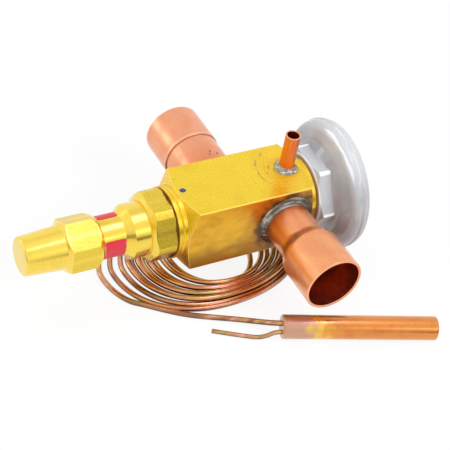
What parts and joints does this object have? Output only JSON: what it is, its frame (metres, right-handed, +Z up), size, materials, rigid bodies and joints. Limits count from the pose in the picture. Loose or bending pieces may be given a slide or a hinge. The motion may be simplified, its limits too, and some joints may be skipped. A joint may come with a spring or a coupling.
{
  "type": "thermostatic expansion valve",
  "caption": "Square brass expansion valve with copper solder ends, upright equaliser tube, grey diaphragm element, seal cap, coiled capillary and sensing bulb.",
  "frame": {"origin": "under the middle of the valve without its capillary and bulb, on the surface that the element's rim rests on", "axes": "+X along the valve from the seal cap to the element, +Y along the inlet, -Y along the outlet, +Z up along the equaliser tube"},
  "size_m": [0.199, 0.1638, 0.077],
  "materials": {
    "brass": "satin, turned and milled",
    "copper": "bright drawn copper tube",
    "bulb_copper": "copper with heat tint at the closed end",
    "capillary_copper": "drawn copper, dulled",
    "braze": "silver braze with flux stain",
    "element_grey": "smooth pale grey, semi-gloss",
    "steel": "ground stainless steel",
    "spring_steel": "drawn spring wire",
    "gasket_copper": "soft copper, dark",
    "packing": "graphite packing",
    "label_red": "red film band, bare"
  },
  "bodies": {
    "valve": {"valve_body": "brass", "spring_housing": "brass", "packing_nut": "brass", "valve_seat": "steel", "superheat_spring": "spring_steel", "stem_packing": "packing", "packing_washer": "steel", "inlet_fitting": "copper", "outlet_fitting": "copper", "equalizer_tube": "copper", "inlet_braze": "braze", "outlet_braze": "braze", "equalizer_braze": "braze", "element_base": "element_grey", "element_cover": "element_grey", "rim_weld": "element_grey", "diaphragm": "steel", "element_gasket": "gasket_copper", "housing_gasket": "gasket_copper", "capillary_ferrule": "brass", "label_band": "label_red", "sensing_bulb": "bulb_copper", "charge_tail": "capillary_copper", "capillary_lead": "capillary_copper", "capillary_coil": "capillary_copper", "bulb_lead": "capillary_copper"},
    "pin_carriage": {"pin_carrier": "brass", "valve_pin": "steel", "push_rods": "steel", "buffer_plate": "brass"},
    "spring_guide": {"lower_spring_guide": "brass"},
    "adjusting_stem": {"adjusting_stem": "steel"},
    "cap_seal": {"cap_gasket": "gasket_copper"},
    "seal_cap": {"seal_cap": "brass"}
  },
  "joints": [
    {"name": "pin_stroke", "type": "slide", "parent": "valve", "child": "pin_carriage", "axis": [1, 0, 0], "range_m": [0, 0.001], "stiffness_N_per_m": 2000, "springref_m": -0.004, "deforming": ["superheat_spring", "diaphragm"]},
    {"name": "guide_travel", "type": "slide", "parent": "valve", "child": "spring_guide", "axis": [1, 0, 0], "range_m": [-0.003, 0.003], "deforming": ["superheat_spring"]},
    {"name": "stem_turn", "type": "hinge", "parent": "spring_guide", "child": "adjusting_stem", "pos_m": [-0.04025, 0.0011, 0.036], "axis": [1, 0, 0], "range_deg": [-1080, 1080]},
    {"name": "cap_lift", "type": "slide", "parent": "valve", "child": "cap_seal", "axis": [-1, 0, 0], "range_m": [0, 0.009]},
    {"name": "cap_turn", "type": "hinge", "parent": "cap_seal", "child": "seal_cap", "pos_m": [-0.07025, 0.0011, 0.036], "axis": [-1, 0, 0], "range_deg": [0, 2160]}
  ],
  "couplings": [
    {"joint": "stem_turn", "follows": "guide_travel", "rad_per_m": 6283.2},
    {"joint": "cap_turn", "follows": "cap_lift", "rad_per_m": 4188.8}
  ]
}
